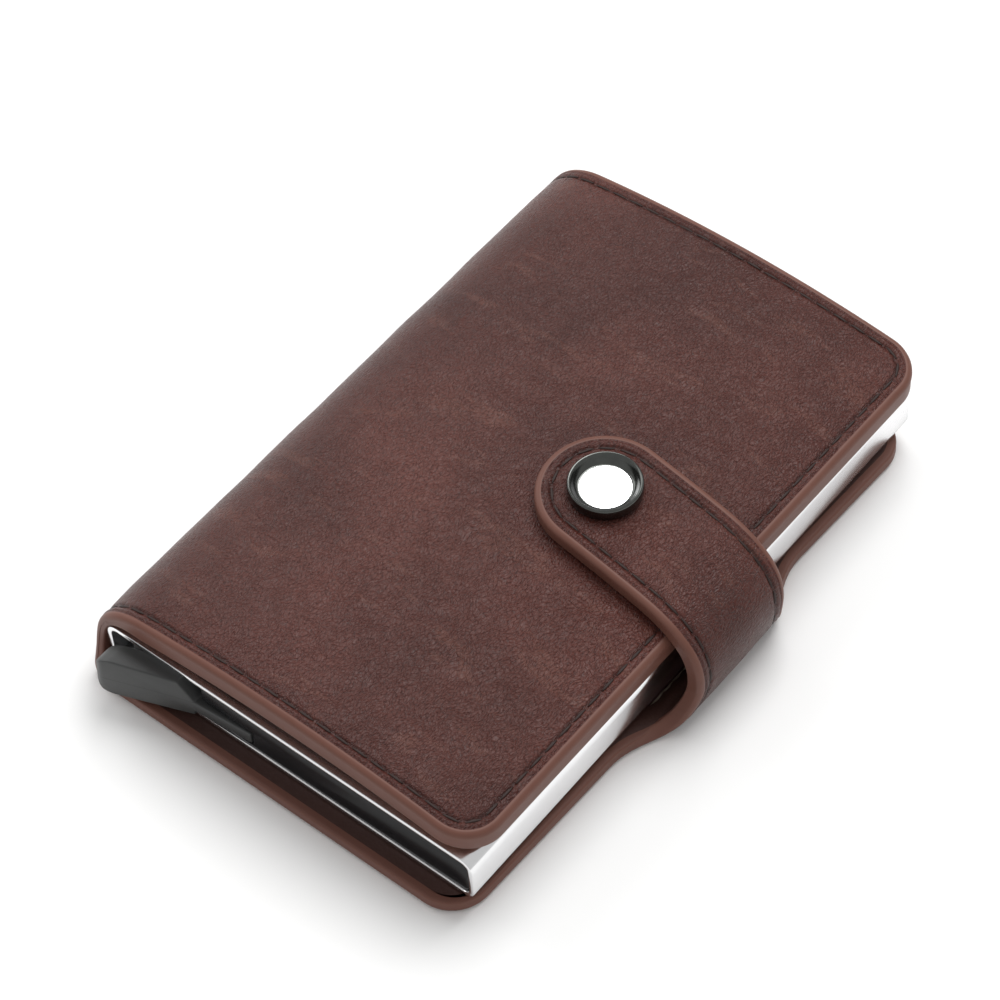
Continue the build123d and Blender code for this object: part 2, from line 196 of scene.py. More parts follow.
def recut(node, name, edge, segments=2, angle=35):
    """A piece shaped like its solid, with its sharp edges broken by this much."""
    piece = bpy.data.objects.new(name, frame["nodes"][node].data.copy())
    piece.data.materials.clear()
    bpy.context.scene.collection.objects.link(piece)
    take(piece)
    bpy.ops.object.mode_set(mode="EDIT")
    bpy.ops.mesh.select_all(action="SELECT")
    bpy.ops.mesh.remove_doubles(threshold=1e-6)
    bpy.ops.mesh.customdata_custom_splitnormals_clear()
    bpy.ops.mesh.dissolve_limited(angle_limit=radians(0.5))
    bpy.ops.object.mode_set(mode="OBJECT")
    bevel = piece.modifiers.new("edge", "BEVEL")
    bevel.width, bevel.segments = edge, segments
    bevel.limit_method, bevel.angle_limit = "ANGLE", radians(angle)
    bpy.ops.object.modifier_apply(modifier="edge")
    bpy.ops.object.shade_smooth_by_angle(angle=radians(30))
    return piece


def dress(piece, slot, *materials):
    """Gives a piece its materials; the slot argument is not used."""
    if piece.data.materials:
        piece.data.materials.clear()
    for material in materials:
        piece.data.materials.append(material)


satin = Finish("satin_aluminium", Metallic=1.0)
lengthwise = satin.place(scale=(1, 0.03, 1))
drawn = satin.cloud(lengthwise, 2600, 3)
haze = satin.cloud(satin.place(), 60, 3)
satin.wear(
    Base_Color=satin.tint(haze, (0.86, 0.86, 0.87), (0.93, 0.93, 0.94)),
    Roughness=0.15 + 0.08 * drawn,
    Normal=satin.relief(drawn, 0.00001, 0.1),
)
tube = recut("card_tube", "tube_sleeve", 0.00018)
dress(tube, "tube_metal", satin.material)
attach(tube, "case")
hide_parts("card_tube")

# Base cap --------------------------------------------------------------------------------------
# A glossy black moulding pressed into the near end of the tube, with a slot for the lever's neck.
# Its two side plates also guide the cards.

gloss_black = Finish("gloss_black_moulding", Specular_IOR_Level=0.18)
ripple = gloss_black.cloud(gloss_black.place(), 90, 2)
gloss_black.wear(
    Base_Color=gloss_black.tint(ripple, (0.006, 0.006, 0.007), (0.014, 0.014, 0.015)),
    Roughness=0.20 + 0.12 * ripple,
    Normal=gloss_black.relief(ripple, 0.00002, 0.4),
)
base = recut("base_cap", "base_moulding", 0.00022)
for point in base.data.vertices:
    if point.co.y < -0.0479:
        point.co.y -= 0.00045  # its face stands almost level with the end of the tube
dress(base, "black_plastic", gloss_black.material)
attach(base, "case")
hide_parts("base_cap")
for node in ("guide_rail_left", "guide_rail_right"):
    dress(frame["nodes"][node], "black_plastic", gloss_black.material)

# Eject lever -----------------------------------------------------------------------------------
# A fine-matt charcoal moulding. Its paddle stands proud of the case with a full-round end, a
# leaning face with a faint parting line, and softened edges; its neck runs into the base cap.

PADDLE_MID_Z = 0.00685
charcoal = Finish("matt_charcoal_moulding", Specular_IOR_Level=0.45)
spark = charcoal.cloud(charcoal.place(), 5200, 2)
patch = charcoal.cloud(charcoal.place(), 160, 3)
height = charcoal.node("ShaderNodeSeparateXYZ", {}, {0: charcoal.place()}, "Z")
parting = abs(height - (PADDLE_MID_Z - 0.0004)) < 0.00006
charcoal.wear(
    Base_Color=charcoal.tint(
        parting * 0.6,
        charcoal.tint(patch, (0.034, 0.035, 0.035), (0.054, 0.055, 0.054)),
        (0.012, 0.012, 0.012),
    ),
    Roughness=0.40 + 0.12 * spark,
    Normal=charcoal.relief(spark - 0.6 * parting, 0.00002, 0.5),
)
lever = recut("eject_lever", "lever_moulding", 0.00045, 3, 50)
for point in lever.data.vertices:
    # the paddle's face leans out towards its foot
    if point.co.y < -0.0493 and point.co.x < -0.0150:
        foot = min(1.0, max(0.0, (0.0102 - point.co.z) / 0.0067))
        front = min(1.0, max(0.0, (-0.0493 - point.co.y) / 0.002))
        point.co.y -= 0.0007 * foot * front
dress(lever, "lever_plastic", charcoal.material)
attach(lever, "eject_lever")
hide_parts("eject_lever")

# Pivot pin and return spring -------------------------------------------------------------------
# A turned steel pin and a hard-drawn spring wire coil, both hidden in the end of the tube.

drawn_steel = Finish("drawn_steel", Metallic=1.0)
scratch = drawn_steel.cloud(drawn_steel.place(scale=(1, 1, 0.1)), 3000, 3)
drawn_steel.wear(
    Base_Color=drawn_steel.tint(scratch, (0.50, 0.50, 0.52), (0.66, 0.66, 0.68)),
    Roughness=0.24 + 0.16 * scratch,
)
for node in ("lever_pin", "return_spring"):
    dress(frame["nodes"][node], "steel", drawn_steel.material)

# Friction strips -------------------------------------------------------------------------------
# Pressed grey felt, stuck to the floor and roof of the tube so that the cards don't fall out.

felt = Finish("pressed_felt", Roughness=0.95, Sheen_Weight=0.4)
fibre = felt.cloud(felt.place(), 4200, 4, 0.7, 1.5)
felt.wear(
    Base_Color=felt.tint(fibre, (0.035, 0.035, 0.040), (0.12, 0.12, 0.13)),
    Normal=felt.relief(fibre, 0.0001, 0.8),
)
for node in ("friction_strip_lower", "friction_strip_upper"):
    dress(frame["nodes"][node], "felt", felt.material)

# Mounting tape ---------------------------------------------------------------------------------
# Thin black foam tape, sticky on both faces, between the tube and the back panel.

film = Finish("adhesive_film", Specular_IOR_Level=0.4)
bubble = film.cells(film.place(), 1500)
film.wear(
    Base_Color=film.tint(bubble, (0.020, 0.020, 0.021), (0.034, 0.034, 0.035)),
    Roughness=0.3 + 0.2 * bubble,
)
dress(frame["nodes"]["mounting_tape"], "tape", film.material)

# Stiffeners and padding ------------------------------------------------------------------------
# Grey fibre board in the back and cover, and a thin foam under the cover's leather.

board = Finish("fibre_board", Roughness=0.85)
pulp = board.cloud(board.place(), 1800, 4, 0.7)
board.wear(
    Base_Color=board.tint(pulp, (0.36, 0.32, 0.26), (0.52, 0.47, 0.39)),
    Normal=board.relief(pulp, 0.00005),
)
foam = Finish("soft_foam", Roughness=0.9)
pore = foam.cells(foam.place(), 3500)
foam.wear(
    Base_Color=foam.tint(pore, (0.80, 0.78, 0.70), (0.55, 0.53, 0.47)),
    Normal=foam.relief(pore, 0.0001),
)
for node in ("back_board", "cover_board"):
    dress(frame["nodes"][node], "board", board.material)
dress(frame["nodes"]["cover_foam"], "foam", foam.material)

# Lining and pockets ----------------------------------------------------------------------------
# Thin skived leather, smooth and a little darker than the outside, glued to the back and the
# cover; two pocket panels are sewn over the cover's lining.

lining = Finish("smooth_lining_leather", Specular_IOR_Level=0.4)
fine = lining.cells(lining.place(), 1900)
shade = lining.cloud(lining.place(), 45, 4)
lining.wear(
    Base_Color=lining.tint(shade, (0.030, 0.011, 0.008), (0.058, 0.022, 0.016)),
    Roughness=0.46 + 0.15 * fine,
    Normal=lining.relief(fine, 0.00004, 0.6),
)
for node in ("back_lining", "cover_lining", "pocket_rear", "pocket_front"):
    dress(frame["nodes"][node], "lining", lining.material)

# Leather wrap ----------------------------------------------------------------------------------
# One piece of pebbled brown leather: cover, fold, back panel and the foot of the strap are cut
# together. The cover is padded with foam inside its stitching, and the edges are turned, burnished
# and painted to a smooth rounded band. Lengths here are in millimetres.

CROWN_R, CROWN_Z = 196.952 + 3.55, -182.552
RIGHT, COVER_LEFT, FOLD_LEFT, BACK_LEFT = 33.0, -25.0, -34.0, -31.5
PANEL_HALF_L, COVER_SHIFT, BACK_SHIFT, CORNER = 50.4, 1.1, -1.8, 6.0
BACK_RIGHT, BACK_TURN, FREE_IN, FREE_TURN = 32.3, 0.012, 0.45, 0.005
COVER_T, FOLD_T, BACK_T, STRAP_T = 3.55, 1.75, 2.35, 2.4
SKIN = 1.0
SNAP = (13.2, 3.2)
STRAP_HALF_W, ROOT_FLARE = 9.6, 12.0
STRAP_RISE = 3.2


def bow(centre, radius, start, end, count):
    turns = np.linspace(start, end, count)
    return [(centre[0] + radius * cos(t), centre[1] + radius * sin(t)) for t in turns]


def flowing(points, count=40):
    """A smooth line through a few points, for the strap's free bend."""
    points = np.array(points, float)
    line = []
    for n in range(1, len(points) - 2):
        a, b, c, d = points[n - 1 : n + 3]
        for t in np.linspace(0, 1, count, endpoint=False):
            line.append(0.5 * (2 * b + (c - a) * t + (2 * a - 5 * b + 4 * c - d) * t**2
                               + (3 * b - a - 3 * c + d) * t**3))
    return line + [points[-2]]


def smoothed(line, reach):
    """Each point averaged with this many neighbours on both sides."""
    kernel = np.ones(2 * reach + 1) / (2 * reach + 1)
    ends = [np.pad(line[:, n], reach, "edge") for n in (0, 1)]
    return np.stack([np.convolve(end, kernel, "valid") for end in ends], 1)


fold_slope = -COVER_LEFT / CROWN_R
fold_r = (COVER_LEFT - FOLD_LEFT) / (1 - fold_slope)
fold_centre = (FOLD_LEFT + fold_r, CROWN_Z + (CROWN_R - fold_r) * sqrt(1 - fold_slope**2))
tuck_r = BACK_LEFT - FOLD_LEFT
half_turn = np.arccos(RIGHT / CROWN_R), np.arccos(COVER_LEFT / CROWN_R)
outside = bow((0, CROWN_Z), CROWN_R, *half_turn, 120)
outside += bow(fold_centre, fold_r, half_turn[1], pi, 60)[1:]
outside += bow((BACK_LEFT, tuck_r), tuck_r, pi, 1.5 * pi, 30)
strap_crown = CROWN_R + STRAP_RISE
tip_line = [(x, CROWN_Z + sqrt(strap_crown**2 - x * x)) for x in (27.5, 24, 19, 13.2, 8, 3, -1)]
outside += flowing(
    [(28, 0), (33.2, 0), (35.0, 0.55), (36.4, 2.1), (37.4, 4.7), (38.0, 8.0), (37.85, 11.0),
     (37.0, 13.6), (35.4, 15.8), (33.1, 17.5), (30.3, 18.65)] + tip_line
)
outside = np.array(outside)
steps = np.hypot(*np.diff(outside, axis=0).T)
outside = outside[np.r_[True, steps > 1e-4]]
along = np.r_[0, np.cumsum(np.hypot(*np.diff(outside, axis=0).T))]
stations = np.arange(0, along[-1], 0.1)
outside = np.stack([np.interp(stations, along, outside[:, n]) for n in (0, 1)], 1)
heading = np.gradient(outside, axis=0)
heading = smoothed(heading, 4)
heading /= np.linalg.norm(heading, axis=1)[:, None]
heading[:, 1] *= np.clip(stations / 5, 0, 1)  # the free edge of the cover is cut upright


def station(x, low, high):
    """Distance along the wrap where it passes x, between two stations."""
    span = (stations >= low) & (stations <= high)
    return stations[span][np.argmin(abs(outside[span, 0] - x))]


FOLD_AT = station(COVER_LEFT, 0, 70)
TURN_AT = station(FOLD_LEFT, 60, 90)
BACK_AT = station(BACK_LEFT + 0.05, TURN_AT + 4, TURN_AT + 20)
ROOT_AT = station(BACK_RIGHT, BACK_AT, BACK_AT + 70)
CUT_AT = station(38.0, ROOT_AT + 4, ROOT_AT + 12)
SNAP_AT = station(SNAP[0], CUT_AT + 20, along[-1])


def ease(value, low, high):
    t = np.clip((value - low) / (high - low), 0, 1)
    return t * t * (3 - 2 * t)


def thickness(s):
    t = COVER_T + (FOLD_T - COVER_T) * ease(s, FOLD_AT - 0.5, FOLD_AT + 9.0)
    t = t + (BACK_T - FOLD_T) * ease(s, BACK_AT - 4.0, BACK_AT + 2.0)
    return t + (STRAP_T - BACK_T) * ease(s, ROOT_AT, ROOT_AT + 4.0)


def askew(s):
    """How far the wrap has slipped along the case here: its fold is not quite square."""
    return COVER_SHIFT + (BACK_SHIFT - COVER_SHIFT) * ease(s, TURN_AT - 3.0, BACK_AT + 3.0)


def strap_middle(s):
    back = SNAP_AT - s
    return SNAP[1] - 0.085 * np.minimum(back, 22.0) - 0.055 * np.maximum(back - 22.0, 0.0)


def place(s, y, depth):
    """Points of the wrap, in metres: along its outside, across it, and this deep in the leather."""
    x, z = (np.interp(s, stations, outside[:, n]) for n in (0, 1))
    tx, tz = (np.interp(s, stations, heading[:, n]) for n in (0, 1))
    return np.stack([x - tz * depth, y, z + tx * depth], -1) / 1000


def ripples(s, y, pitch, layer):
    """Even, repeatable unevenness over the wrap."""
    found = [noise.noise(Vector((a * pitch, b * pitch, layer))) for a, b in zip(np.ravel(s), np.ravel(y))]
    return np.array(found).reshape(np.shape(s))


def swell(s, y, inset):
    """Depth of the outer surface below the plain wrap: stitch groove, padding and handling waves."""
    line = np.where(s > CUT_AT, 2.4, 2.15)
    groove = 0.22 * np.exp(-(((inset - line) / 0.33) ** 2))
    groove += 0.13 * np.exp(-(((inset - 1.12) / 0.13) ** 2))
    lip = 0.05 * np.exp(-(((inset - 1.55) / 0.3) ** 2))
    padded = np.where(s < FOLD_AT, 1.0, 0.35) * ease(s, -1, 0) * np.where(s > BACK_AT, 0.4, 1.0)
    pillow = 0.34 * ease(inset, line + 0.1, line + 5.5) * padded
    wave = ripples(s, y, 0.16, 0.5) * 0.10 * ease(inset, 1.0, 5.0)
    wave += ripples(s, y, 0.8, 4.5) * 0.10 * np.exp(-(((inset - line) / 0.9) ** 2))
    return groove - lip - pillow - wave


# Each ring of the wrap's edge: inset from its outline, share of the lip's depth on the way round
OUTER_RINGS = [4.4, 3.6, 3.1, 2.8, 2.55, 2.35, 2.15, 1.95, 1.7, 1.4, 1.2, 1.08]
LIP_RINGS = [(0.95, 0.0), (0.68, 0.03), (0.38, 0.14), (0.15, 0.34), (0.03, 0.60), (0.0, 0.85)]
LOWER_LIP_RINGS = [(0.03, 0.35), (0.11, 0.14), (0.28, 0.03)]
INNER_RINGS = [0.6, 1.0, 1.3]


def spread(points, pitch):
    """The same line with its points evenly spaced."""
    points = np.array(points, float)
    run = np.r_[0, np.cumsum(np.hypot(*np.diff(points, axis=0).T))]
    even = np.linspace(0, run[-1], int(round(run[-1] / pitch)) + 1)
    return np.stack([np.interp(even, run, points[:, n]) for n in (0, 1)], 1)


def inward(line):
    """Unit directions from a line into the leather; the ends run straight across the strap."""
    ahead = smoothed(np.gradient(line, axis=0), 2)
    x, y = line.T
    winding = np.sign(np.sum(x * np.roll(y, -1) - y * np.roll(x, -1)))
    side = np.stack([-ahead[:, 1], ahead[:, 0]], 1) * winding
    side /= np.linalg.norm(side, axis=1)[:, None]
    side[0], side[-1] = (0, np.sign(side[0, 1])), (0, np.sign(side[-1, 1]))
    return side


def leather_sheet(name, line, pitch, recessed):
    """A closed leather piece inside an outline that starts and ends at a cut across the strap."""
    line = spread(line, 0.5)
    side = inward(line)
    count = len(line)
    rings, depths, bands, insets = [], [], [], list(OUTER_RINGS)
    for inset in OUTER_RINGS:
        at = line + side * inset
        rings.append(at)
        depths.append(swell(at[:, 0], at[:, 1], np.full(count, inset)))
        bands.append(0)
    full = thickness(line[:, 0])
    for inset, drop in LIP_RINGS:
        insets.append(inset)
        at = line + side * inset
        rings.append(at)
        depths.append(drop + swell(at[:, 0], at[:, 1], np.full(count, inset)) * (1 - drop / 0.85))
        bands.append(1)
    rings.append(line + side * 0.07)
    depths.append(full / 2)
    bands.append(1)
    for inset, drop in LOWER_LIP_RINGS:
        rings.append(line + side * inset)
        depths.append(full - drop)
        bands.append(1)

    def floor_of(s):
        """Depth of the inner surface: the panels are trays for their boards, the rest is solid."""
        tray = recessed & (s < ROOT_AT - 1.0) & ((s < FOLD_AT + 0.2) | (s > BACK_AT + 0.5))
        return np.where(tray, SKIN, thickness(s))

    for inset in INNER_RINGS:
        rings.append(line + side * inset)
        depths.append(full)
        bands.append(1)
    for inset in (1.34, 4.4):
        rings.append(line + side * inset)
        depths.append(floor_of(line[:, 0]))
        bands.append(2)
    heart = rings[0]
    low, high = heart.min(0), heart.max(0)
    row = np.arange(low[0], high[0], pitch)
    rows = []
    for n, y in enumerate(np.arange(low[1], high[1], pitch * 0.866)):
        rows.append(np.stack([row + (n % 2) * pitch / 2 + 0.01, np.full(len(row), y)], 1))
    grid = np.concatenate(rows)
    inside = np.zeros(len(grid), bool)
    closed = np.r_[heart, heart[:1]]
    for a, b in zip(closed[:-1], closed[1:]):
        crosses = (a[1] > grid[:, 1]) != (b[1] > grid[:, 1])
        where = a[0] + (grid[:, 1] - a[1]) / (b[1] - a[1] + 1e-12) * (b[0] - a[0])
        inside ^= crosses & (grid[:, 0] < where)
    grid = grid[inside]
    near = np.empty(len(grid))
    for n in range(0, len(grid), 500):
        gap = grid[n : n + 500, None, :] - heart[None, :, :]
        near[n : n + 500] = np.sqrt((gap**2).sum(2)).min(1)
    cut_s = heart[0, 0]
    near_cut = abs(grid[:, 0] - cut_s) < pitch * 0.6
    keep = (near > 0.55 * pitch) & ~near_cut
    grid, near = grid[keep], near[keep]
    cut_n = max(2, int(abs(heart[-1, 1] - heart[0, 1]) / pitch))
    cut_y = np.linspace(heart[-1, 1], heart[0, 1], cut_n + 1)[1:-1]
    cut = np.stack([np.full(cut_n - 1, cut_s), cut_y], 1)
    flat = np.concatenate([heart, cut, grid])
    border = list(range(count + len(cut)))
    edges = [(n, (n + 1) % len(border)) for n in border]
    _, _, faces, origin, _, _ = delaunay_2d_cdt([Vector(p) for p in flat], edges, [border], 1, 1e-6)
    faces = [[origin[n][0] for n in face] for face in faces]
    inset = np.r_[np.full(count + len(cut), 4.4), 4.4 + near]
    cut_out = swell(flat[:, 0], flat[:, 1], inset)
    floor_flat = floor_of(flat[:, 0])
    extra = len(flat) - count
    points, maps = [], []
    for ring, depth in zip(rings, depths):
        points.append(place(ring[:, 0], ring[:, 1], depth))
        maps.append(ring - side * np.maximum(depth, 0)[:, None])
    points.append(place(flat[count:, 0], flat[count:, 1], cut_out[count:]))
    maps.append(flat[count:])
    points.append(place(flat[count:, 0], flat[count:, 1], floor_flat[count:]))
    maps.append(flat[count:])
    points, maps = np.concatenate(points), np.concatenate(maps) * 0.01
    run = np.r_[0, np.cumsum(np.hypot(*np.diff(line, axis=0).T))]
    insets += [0.0] * (len(rings) - len(insets))
    hems = [np.stack([run, np.full(count, inset)], 1) for inset in insets]
    hems += [np.stack([np.zeros(extra), 4.4 + np.r_[np.zeros(len(cut)), near]], 1)] * 2
    hems = np.concatenate(hems) * 0.01
    last = (len(rings) - 1) * count
    outer_extra = len(rings) * count
    inner_extra = outer_extra + extra
    polygons, kinds = [], []
    for ring in range(len(rings) - 1):
        for n in range(count - 1):
            a = ring * count + n
            polygons.append((a, a + 1, a + 1 + count, a + count))
            kinds.append(max(bands[ring], bands[ring + 1]) if bands[ring] else 0)
    for face in faces:
        polygons.append([n if n < count else outer_extra + n - count for n in face])
        kinds.append(0)
        polygons.append([last + n if n < count else inner_extra + n - count for n in face][::-1])
        kinds.append(2)
    side_a = [ring * count for ring in range(len(rings))]
    side_b = [ring * count + count - 1 for ring in range(len(rings))]
    outer_cut = [outer_extra + n for n in range(len(cut))]
    inner_cut = [inner_extra + n for n in range(len(cut))]
    polygons.append(side_a + inner_cut[::-1] + side_b[::-1] + outer_cut)
    kinds.append(2)
    mesh = bpy.data.meshes.new(name)
    mesh.from_pydata(points.tolist(), [], [list(p) for p in polygons])
    mesh.polygons.foreach_set("material_index", kinds)
    layer = mesh.uv_layers.new(name="unrolled")
    corner = np.empty(len(mesh.loops), int)
    mesh.loops.foreach_get("vertex_index", corner)
    layer.data.foreach_set("uv", maps[corner].ravel())
    mesh.uv_layers.new(name="hem").data.foreach_set("uv", hems[corner].ravel())
    piece = bpy.data.objects.new(name, mesh)
    bpy.context.scene.collection.objects.link(piece)
    take(piece)
    bpy.ops.object.mode_set(mode="EDIT")
    bpy.ops.mesh.select_all(action="SELECT")
    bpy.ops.mesh.normals_make_consistent(inside=False)
    bpy.ops.object.mode_set(mode="OBJECT")
    bpy.ops.object.shade_smooth_by_angle(angle=radians(55))
    return piece


def wrap_half(sign):
    """Half of the wrap's outline, from the middle of the cover's free edge to the cut, at one end."""
    half = []
    free = FREE_IN - sign * FREE_TURN * PANEL_HALF_L
    half.append((FREE_IN, COVER_SHIFT + sign * 0.2))
    rounded = [(CORNER * (1 - sin(t)), sign * (PANEL_HALF_L - CORNER + CORNER * cos(t)))
               for t in np.linspace(pi / 2, 0, 16)]
    half += [(free + s, y + COVER_SHIFT) for s, y in rounded]
    corner_at = ROOT_AT + sign * BACK_TURN * PANEL_HALF_L
    straight = np.arange(CORNER + 1, corner_at - CORNER - 0.5, 1.0)
    half += [(s, sign * PANEL_HALF_L + askew(s)) for s in straight]
    half += [(corner_at - s, y + BACK_SHIFT) for s, y in rounded[::-1]]
    flare = min(1.0, (CUT_AT - ROOT_AT) / ROOT_FLARE)
    for t in np.linspace(0.02, np.arccos(1 - flare), 24):
        s = ROOT_AT + ROOT_FLARE * (1 - cos(t))
        half.append((s, strap_middle(s) + sign * (STRAP_HALF_W + ROOT_FLARE * (1 - sin(t)))))
    half[-1] = (CUT_AT, half[-1][1])
    return half


leather = Finish("pebbled_brown_leather", Specular_IOR_Level=0.25)
flat = leather.place("UV")
drift = leather.node("ShaderNodeTexNoise", {}, {"Vector": flat, "Scale": 26.0, "Detail": 2.0}, "Color")
drift = leather.node("ShaderNodeVectorMath", {"operation": "SCALE"}, {0: drift, "Scale": 0.018})
warped = leather.node("ShaderNodeVectorMath", {"operation": "ADD"}, {0: flat, 1: drift})
turned = {"Vector": warped, "Rotation": (0, 0, 0.7)}
stretch = leather.node("ShaderNodeMapping", {}, {**turned, "Scale": (1.0, 0.5, 1.0)})
pebble = leather.cells(stretch, 420)
crease = leather.cells(stretch, 230, "DISTANCE_TO_EDGE")
crease = (crease * 9.0).held_to(1.0)
wrinkle = leather.cloud(stretch, 300, 4, 0.65, 0.2)
tone = leather.cloud(warped, 3.2, 4, 0.6)
scuffed = leather.node("ShaderNodeMapping", {}, {**turned, "Scale": (1, 3.5, 1)})
streak = leather.cloud(scuffed, 7, 5, 0.65, 0.8)
hem = leather.node("ShaderNodeUVMap", {"uv_map": "hem"}, {})
inset = leather.node("ShaderNodeSeparateXYZ", {}, {0: hem}, "Y") * 100.0
across_hem = leather.node("ShaderNodeMapping", {}, {"Vector": hem, "Scale": (1, 0.16, 1)})
ray = leather.cloud(across_hem, 130, 3, 0.6, 0.3)
drawn_in = ((1.0 - abs(inset - 2.4) * 0.6) * 1.6).floor_at(0.0).held_to(1.0)
seam = ((0.42 - abs(inset - 2.27)) * 4.0).floor_at(0.0).held_to(1.0)
# The relief of the leather's grain; its low places, the crease lines and the stitch groove (seam) also
# set painted shade in the base colour below.
grain_and_valley_shade = 0.55 * pebble + 0.38 * wrinkle + 0.2 * crease + 0.55 * (ray - 0.5) * drawn_in - 0.25 * seam
body_colour = leather.ramp(
    tone,
    (0.32, (0.050, 0.0120, 0.0085)),
    (0.50, (0.074, 0.0200, 0.0145)),
    (0.70, (0.104, 0.0310, 0.0230)),
)
scuff = ((streak - 0.56) * 3.5).floor_at(0.0).held_to(0.25)
pulled = leather.tint(scuff, body_colour, (0.17, 0.070, 0.050))
# Painted shade: the base colour goes towards near-black where the grain is low, in the crease lines
# between pebbles and along the stitch groove, where shade would fall.
leather.wear(
    Base_Color=leather.tint(((grain_and_valley_shade - 0.30) * 2.6).floor_at(0.0).held_to(1.0),
                            leather.tint(0.65, pulled, (0.018, 0.005, 0.004)), pulled),
    Roughness=0.22 + 0.12 * grain_and_valley_shade + 0.06 * tone,
    Normal=leather.relief(grain_and_valley_shade, 0.00026, 0.8),
)
edge_paint = Finish("burnished_edge_paint", Specular_IOR_Level=0.25)
smear = edge_paint.cloud(edge_paint.place(scale=(1, 1, 2.5)), 120, 4, 0.6)
edge_paint.wear(
    Base_Color=edge_paint.tint(smear, (0.120, 0.048, 0.034), (0.165, 0.072, 0.053)),
    Roughness=0.38 + 0.14 * smear,
    Normal=edge_paint.relief(smear, 0.00006, 0.5),
)
near_half, far_half = wrap_half(-1), wrap_half(1)
wrap = leather_sheet("leather_wrap", near_half[::-1] + far_half, 1.25, True)
dress(wrap, "leather", leather.material, edge_paint.material, lining.material)
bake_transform(wrap)
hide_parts("cover_leather", "spine_leather", "spine_lining", "back_leather")

# Strap -----------------------------------------------------------------------------------------
# The same leather with its lining, sewn round its edge. It bows up past the tube and over the
# cover to its round tip.

tilt = 0.085
norm = sqrt(1 + tilt**2)
strap_near = [(s, strap_middle(s) - STRAP_HALF_W * norm) for s in np.arange(CUT_AT, SNAP_AT, 1.0)]
strap_far = [(s, strap_middle(s) + STRAP_HALF_W * norm) for s in np.arange(CUT_AT, SNAP_AT - 1.2, 1.0)]
tip_r = STRAP_HALF_W / norm
tip = [(SNAP_AT + tip_r * (cos(t) - tilt * sin(t)), SNAP[1] + tip_r * (tilt * cos(t) + sin(t)))
       for t in np.linspace(-pi / 2, pi / 2, 40)]
strap_outline = strap_near + tip + strap_far[::-1]
strap = leather_sheet("leather_strap", strap_outline, 1.0, False)
dress(strap, "leather", leather.material, edge_paint.material, lining.material)
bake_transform(strap)
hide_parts("strap_riser_leather", "strap_riser_lining", "strap_tip_leather", "strap_tip_lining")

# Stitching -------------------------------------------------------------------------------------
# Waxed dark thread in the groove inside every edge, three stitches to the centimetre; each stitch
# dips into its two holes.

THREAD_R, STITCH_L, STITCH_PITCH = 0.24, 2.5, 3.0
thread = Finish("waxed_thread", Specular_IOR_Level=0.4)
twist = thread.cloud(thread.place(), 2600, 3)
thread.wear(
    Base_Color=thread.tint(twist, (0.012, 0.005, 0.004), (0.034, 0.014, 0.010)),
    Roughness=0.55 + 0.15 * twist,
    Normal=thread.relief(twist, 0.00005, 0.6),
)
deselect()
bpy.ops.mesh.primitive_uv_sphere_add(
    segments=8, ring_count=6, radius=THREAD_R / 1000, rotation=(0, pi / 2, 0)
)
bpy.ops.object.transform_apply(location=False, rotation=True, scale=False)
pattern = bpy.context.active_object
bpy.ops.object.mode_set(mode="EDIT")
bpy.ops.mesh.select_all(action="SELECT")
bpy.ops.transform.resize(value=(STITCH_L / THREAD_R / 2, 1, 0.9))
bpy.ops.object.mode_set(mode="OBJECT")
bpy.ops.object.shade_smooth()


def sewn(name, line, inset):
    """Stitches along a line this far inside an outline."""
    line = spread(line, 0.25)
    line = line + inward(line) * inset
    run = np.r_[0, np.cumsum(np.hypot(*np.diff(line, axis=0).T))]
    made = bmesh.new()
    for middle in np.arange(0.5 + STITCH_L / 2, run[-1] - 0.5 - STITCH_L / 2, STITCH_PITCH):
        ends = [middle - STITCH_L / 2, middle, middle + STITCH_L / 2]
        s, y = (np.interp(ends, run, line[:, n]) for n in (0, 1))
        sunk = swell(s, y, np.full(3, inset))
        start, centre, end = (Vector(p) for p in place(s, y, sunk))
        ahead = (end - start).normalized()
        out = centre - Vector(place(s, y, sunk + 1.0)[1])
        out = (out - ahead * out.dot(ahead)).normalized()
        seat = Matrix((ahead, out.cross(ahead), out)).transposed().to_4x4()
        seat.translation = centre
        stitch = pattern.data.copy()
        stitch.transform(seat)
        made.from_mesh(stitch)
        bpy.data.meshes.remove(stitch)
    mesh = bpy.data.meshes.new(name)
    made.to_mesh(mesh)
    made.free()
    piece = bpy.data.objects.new(name, mesh)
    bpy.context.scene.collection.objects.link(piece)
    dress(piece, "leather", thread.material)
    return piece


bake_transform(sewn("wrap_stitching", near_half[::-1] + far_half, 2.15))
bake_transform(sewn("strap_stitching", strap_outline, 2.4))
bpy.data.objects.remove(pattern)

# Snap ------------------------------------------------------------------------------------------
# A black-nickelled press stud. The cap is a spun dish with a rolled rim and a polished floor, its
# post riveted through the strap to the socket; the stud is riveted to the cover.

nickel = Finish("black_nickel", Metallic=1.0)
cloudy = nickel.cloud(nickel.place(), 900, 3)
nickel.wear(
    Base_Color=nickel.tint(cloudy, (0.075, 0.078, 0.074), (0.12, 0.125, 0.118)),
    Roughness=0.13 + 0.10 * cloudy,
)
mirror = Finish("polished_floor", Metallic=1.0)
swirl = mirror.cloud(mirror.place(), 500, 2)
mirror.wear(
    Base_Color=mirror.tint(swirl, (0.90, 0.90, 0.91), (0.97, 0.97, 0.98)),
    Roughness=0.12 + 0.05 * swirl,
)
cap_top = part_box("snap_cap")[1].z * 1000
cap_foot = cap_top - 1.9
CAP_R, FLOOR_R = 5.2, 3.65
profile = [(0.0, cap_foot - 0.2), (5.0, cap_foot - 0.2), (CAP_R, cap_foot + 0.1)]
profile += [(5.24, cap_foot + 0.9), (CAP_R, cap_top - 0.35), (5.12, cap_top - 0.12)]
